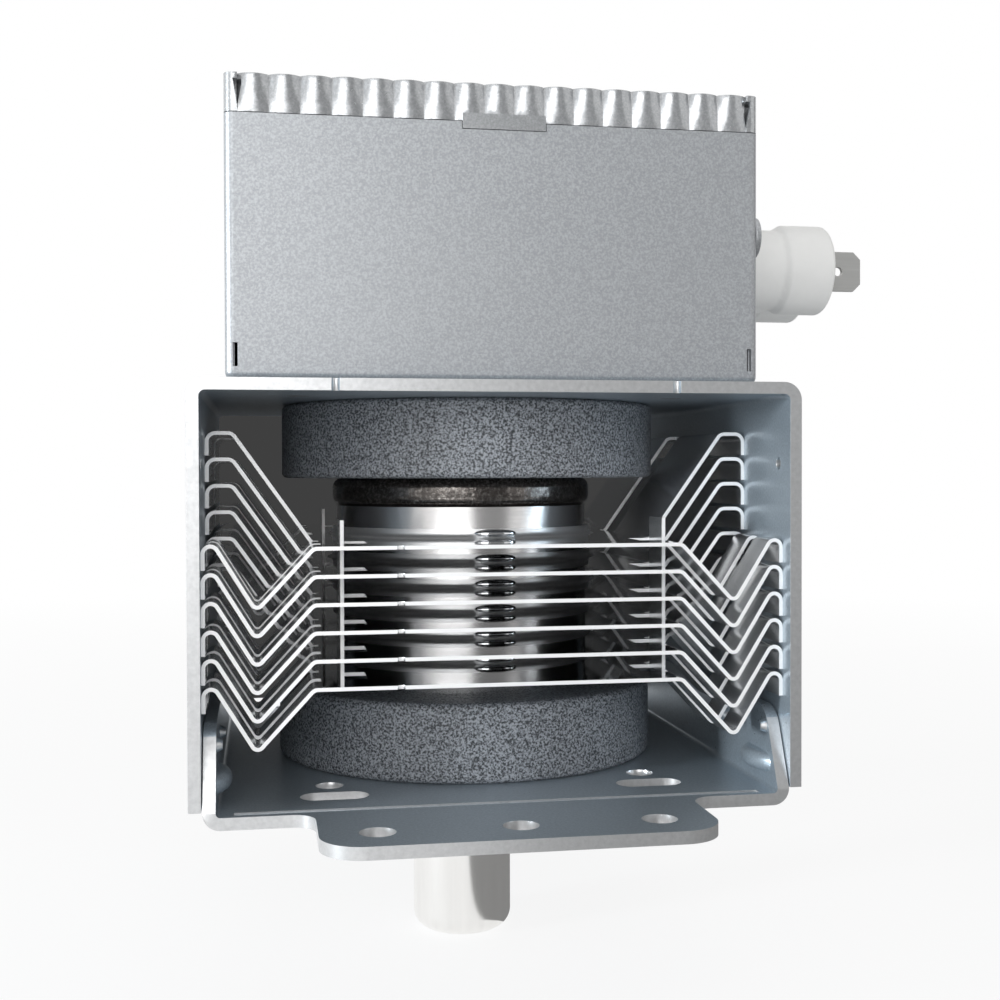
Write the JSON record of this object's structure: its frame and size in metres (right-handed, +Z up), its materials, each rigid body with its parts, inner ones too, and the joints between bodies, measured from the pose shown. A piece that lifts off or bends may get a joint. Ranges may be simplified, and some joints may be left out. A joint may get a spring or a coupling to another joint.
{
  "type": "magnetron",
  "caption": "Microwave oven magnetron: finned anode tube between ring magnets in a folded steel yoke, with a filter case on top and the antenna pointing down.",
  "frame": {"origin": "on the tube's axis, in the underside of the mounting plate, at the centre of the four mounting holes", "axes": "+Z up along the tube's axis, away from the antenna; +X to the side with the two terminals; Y along the cooling air"},
  "size_m": [0.1041, 0.1134, 0.1218],
  "materials": {
    "zinc_steel": "satin zinc plate",
    "ferrite": "matt, fine speckle",
    "fin_aluminium": "mill finish",
    "copper": "bright copper",
    "nickel_iron": "bright nickel plate",
    "dark_iron": "dark oxide",
    "tungsten": "drawn wire",
    "white_ceramic": "unglazed alumina",
    "stainless_cap": "drawn, satin",
    "gasket_wire": "knitted wire",
    "cream_plastic": "moulded, slightly rough",
    "tinned_blade": "tin plate",
    "choke_ferrite": "matt"
  },
  "bodies": {
    "root": {"upper_yoke": "zinc_steel", "mounting_plate": "zinc_steel", "upper_magnet": "ferrite", "lower_magnet": "ferrite", "fin_1": "fin_aluminium", "fin_2": "fin_aluminium", "fin_3": "fin_aluminium", "fin_4": "fin_aluminium", "fin_5": "fin_aluminium", "fin_6": "fin_aluminium", "anode_cylinder": "copper", "anode_vanes": "copper", "strap_rings": "copper", "upper_pole_piece": "nickel_iron", "lower_pole_piece": "nickel_iron", "upper_seal_cup": "dark_iron", "lower_seal_cup": "nickel_iron", "cathode_filament": "tungsten", "upper_end_hat": "tungsten", "lower_end_hat": "tungsten", "centre_lead": "tungsten", "side_lead": "tungsten", "stem_insulator": "white_ceramic", "antenna_insulator": "white_ceramic", "exhaust_tube": "copper", "antenna_rod": "copper", "antenna_cap": "stainless_cap", "rf_gasket": "gasket_wire", "filter_case": "zinc_steel", "filter_lid": "zinc_steel", "case_rivets": "zinc_steel", "capacitor_flange": "zinc_steel", "flange_rivets": "zinc_steel", "capacitor_body": "cream_plastic", "terminal_front": "tinned_blade", "terminal_rear": "tinned_blade", "choke_coil_front": "copper", "choke_coil_rear": "copper", "choke_core_front": "choke_ferrite", "choke_core_rear": "choke_ferrite"}
  },
  "joints": []
}
